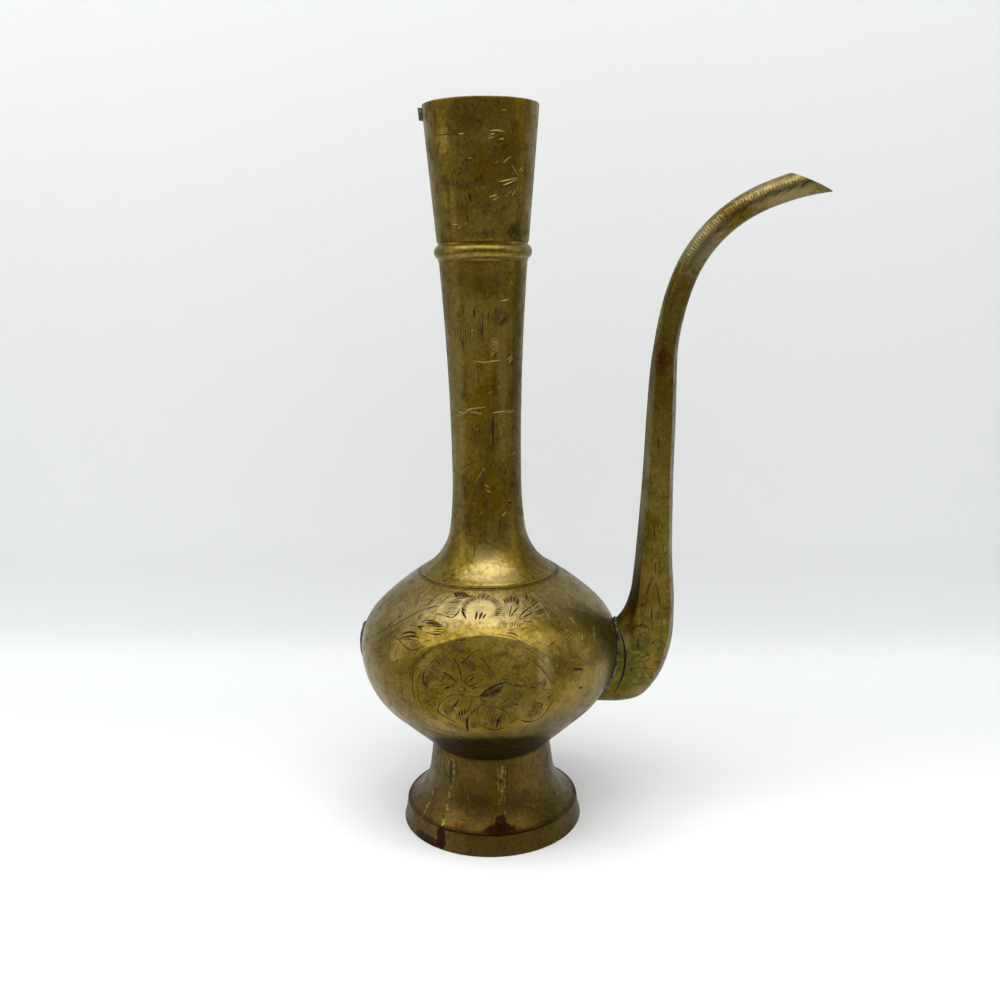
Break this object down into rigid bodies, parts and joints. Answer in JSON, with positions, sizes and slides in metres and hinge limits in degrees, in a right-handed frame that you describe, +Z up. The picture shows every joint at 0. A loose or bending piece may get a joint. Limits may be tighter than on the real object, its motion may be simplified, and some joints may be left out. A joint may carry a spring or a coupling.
{
  "type": "ewer",
  "caption": "Tall brass ewer with a pedestal foot, a round body flattened front and back, a waisted neck with a beaded ring, a flared mouth and a long swan-neck spout.",
  "frame": {"origin": "centre of the foot's rest face, on the turning axis", "axes": "+Z up along the turning axis, +X towards the spout, -Y towards the front panel"},
  "size_m": [0.1964, 0.0998, 0.305],
  "materials": {
    "brass_foot": "turned brass, browned by age, with dark flux runs",
    "brass_body": "aged olive-gold brass, hand engraved, worn brighter on the high places",
    "brass_neck": "aged olive-brown brass, lightly engraved",
    "brass_ring": "turned brass bead, rubbed on its crest",
    "brass_spout": "aged brass with green verdigris near its root",
    "grey_solder": "dull grey soft solder, darkened in its hollows"
  },
  "bodies": {
    "root": {"pedestal_foot": "brass_foot", "foot_solder_fillet": "grey_solder", "lower_bowl": "brass_body", "seam_braze": "brass_body", "upper_bowl": "brass_body", "neck_tube": "brass_neck", "neck_ring": "brass_ring", "mouth_funnel": "brass_neck", "spout_front_half": "brass_spout", "spout_back_half": "brass_spout", "spout_root_solder": "grey_solder", "body_solder_scar": "grey_solder", "rim_solder_lump": "grey_solder"}
  },
  "joints": []
}
